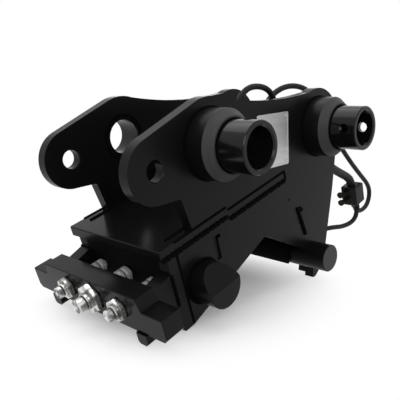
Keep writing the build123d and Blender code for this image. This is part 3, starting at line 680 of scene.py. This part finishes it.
# Hoses
# Wire-braided hoses with a black rubber cover that keeps the marks of its wrapping cloth. Their ends are
# crimped in ferrules, plated or blackened, except where the thick hose goes into the block.
cover = Finish("hose_cover")
cloth_marks = cover.noise(420.0, 2.0)
dust = cover.noise(30.0, 4.0)
hose_rubber = cover.set(
    Base_Color=cover.mix(dust, (0.005, 0.005, 0.005, 1), (0.016, 0.016, 0.016, 1)),
    Roughness=0.45 + 0.16 * dust, Specular_IOR_Level=0.16, Normal=cover.bump(cloth_marks, 0.3, 0.0010),
)
routes = {
    "loop_hose": (0.014, [
        (0.104, 0.2272, -0.029), (0.104, 0.2194, -0.0042), (0.104, 0.152, 0.042), (0.105, 0.136, 0.082),
        (0.106, 0.172, 0.1162), (0.106, 0.238, 0.1162), (0.105, 0.274, 0.089), (0.104, 0.277, 0.048),
        (0.104, 0.2786, 0.0144), (0.104, 0.2864, -0.0104)]),
    "return_hose": (0.014, [
        (0.104, 0.2568, -0.0197), (0.104, 0.249, 0.0051), (0.086, 0.25, 0.056), (0.084, 0.288, 0.097),
        (0.086, 0.344, 0.120), (0.09, 0.408, 0.1195), (0.09, 0.462, 0.098), (0.088, 0.516, 0.060),
        (0.084, 0.57, 0.008), (0.08, 0.63, -0.045), (0.076, 0.696, -0.094), (0.075, 0.77, -0.146),
        (0.074, 0.838, -0.190), (0.074, 0.8505, -0.226), (0.074, 0.835, -0.258), (0.074, 0.797, -0.271),
        (0.074, 0.756, -0.2641), (0.074, 0.7445, -0.2279)]),
    "pressure_hose": (0.025, [
        (0.104, 0.3245, -0.0382), (0.104, 0.355, -0.0286), (0.102, 0.42, -0.044), (0.098, 0.482, -0.067),
        (0.093, 0.54, -0.093), (0.088, 0.598, -0.117), (0.084, 0.646, -0.134), (0.082, 0.682, -0.1465),
        (0.082, 0.7035, -0.1605), (0.082, 0.7128, -0.1785)]),
    "lock_hose": (0.014, [
        (0.091, 0.7312, -0.2321), (0.091, 0.7414, -0.2645), (0.091, 0.718, -0.29), (0.087, 0.664, -0.298),
        (0.079, 0.606, -0.292), (0.065, 0.548, -0.296), (0.044, 0.496, -0.31), (0.036, 0.47, -0.312),
        (0.036, 0.443, -0.312)]),
}


def hose_curve(name, diameter, points):
    """A round hose along one smooth line through its control points."""
    curve = bpy.data.curves.new(name, "CURVE")
    curve.dimensions = "3D"
    curve.bevel_depth = diameter / 2
    curve.bevel_resolution = 5
    curve.resolution_u = 10
    curve.use_fill_caps = True
    line = curve.splines.new("NURBS")
    line.points.add(len(points) - 1)
    for control, point in zip(line.points, points):
        control.co = (*point, 1)
    line.order_u = 3
    line.use_endpoint_u = True
    curve.materials.append(hose_rubber)
    piece = bpy.data.objects.new(name, curve)
    bpy.context.collection.objects.link(piece)
    return piece


def line_length(piece):
    """Length of a curve's own line."""
    bare = piece.copy()
    bare.data = piece.data.copy()
    bare.data.bevel_depth = 0
    bpy.context.collection.objects.link(bare)
    bpy.context.view_layer.update()
    evaluated = bare.evaluated_get(bpy.context.evaluated_depsgraph_get())
    mesh = bpy.data.meshes.new_from_object(evaluated)
    ends = [[mesh.vertices[index].co for index in edge.vertices] for edge in mesh.edges]
    total = sum((start - end).length for start, end in ends)
    bpy.data.objects.remove(bare)
    bpy.data.meshes.remove(mesh)
    return total


def ferrule(diameter):
    """A crimped sleeve over a hose's end, on +Z, with three pressed grooves."""
    inside = diameter / 2
    skin = inside * 1.28
    profile = [(inside * 0.9, 0), (skin, 0), (skin, diameter * 0.25)]
    for groove in (0.45, 0.8, 1.15):
        profile += [(skin, diameter * groove), (skin * 0.93, diameter * (groove + 0.04)),
                    (skin * 0.93, diameter * (groove + 0.16)), (skin, diameter * (groove + 0.2))]
    profile += [(skin, diameter * 1.5), (inside * 1.02, diameter * 1.56),
                (inside * 0.9, diameter * 1.56), (inside * 0.9, 0)]
    return lathe(profile, 28)


hoses = {}
for name, (diameter, points) in routes.items():
    hose = hose_curve(f"{name}_cover", diameter, points)
    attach(hose, "frame")
    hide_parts(name)
    hoses[name] = hose

at_block = (("return_hose", "end"), ("lock_hose", "start"))
for name, (diameter, points) in routes.items():
    for end, pair in (("start", points[:2]), ("end", points[:-3:-1])):
        if (name, end) == ("pressure_hose", "end"):
            continue
        look = (blackened, "blackened_steel") if (name, end) in at_block else (plated, "plated_fitting")
        fit(f"{name}_ferrule_{end}", ferrule(diameter), *look, along(*pair))

lengths = {name: line_length(hose) for name, hose in hoses.items()}

# Rating plate
# A bare sheet of brushed aluminium with a raised border, held on the near side plate by four blind
# rivets. It was put on a little out of true.
sheet_metal = Finish("brushed_aluminium")
brushed = sheet_metal.noise(220.0, 3.0, place=sheet_metal.stretched(1.0, 0.06, 1.0))
bright_sheet = sheet_metal.set(
    Base_Color=sheet_metal.mix(brushed, (0.42, 0.42, 0.42, 1), (0.66, 0.66, 0.66, 1)),
    Metallic=0.85, Roughness=0.38 + 0.14 * brushed, Normal=sheet_metal.bump(brushed, 0.1, 0.0003),
)
plate_width, plate_height, plate_thick = 0.117, 0.1235, 0.0012
corner_radius = 0.004
border = 0.0028
pressing = 0.0005
rivet_radius = 0.0028
rivet_inset = 0.009
plate_centre = Matrix.Translation((reach + plate_thick / 2, 0.209, -0.0057))
plate_turn = Matrix.Rotation(radians(4), 4, "X")
plate_bm = bmesh.new()
bmesh.ops.create_cube(plate_bm, size=1.0)
bmesh.ops.scale(plate_bm, vec=(plate_thick, plate_width, plate_height), verts=plate_bm.verts)
corners = [edge for edge in plate_bm.edges if abs(edge.verts[0].co.x - edge.verts[1].co.x) > 0.001]
bmesh.ops.bevel(plate_bm, geom=corners, offset=corner_radius, segments=4, profile=0.5, affect="EDGES",
                material=-1)
plate_bm.normal_update()
front = [face for face in plate_bm.faces if face.normal.x > 0.9]
bmesh.ops.inset_region(plate_bm, faces=front, thickness=border)
bmesh.ops.inset_region(plate_bm, faces=front, thickness=pressing)
pressed = {vert for face in front for vert in face.verts}
bmesh.ops.translate(plate_bm, vec=(-pressing, 0, 0), verts=list(pressed))
for y in (-1, 1):
    for z in (-1, 1):
        made = bmesh.ops.create_uvsphere(plate_bm, u_segments=12, v_segments=8, radius=rivet_radius)
        rivet = made["verts"]
        bmesh.ops.scale(plate_bm, vec=(0.5, 1, 1), verts=rivet)
        seat = (0.0004, y * (plate_width / 2 - rivet_inset), z * (plate_height / 2 - rivet_inset))
        bmesh.ops.translate(plate_bm, vec=seat, verts=rivet)
fit("rating_plate", plate_bm, bright_sheet, "plated_fitting", plate_centre @ plate_turn)
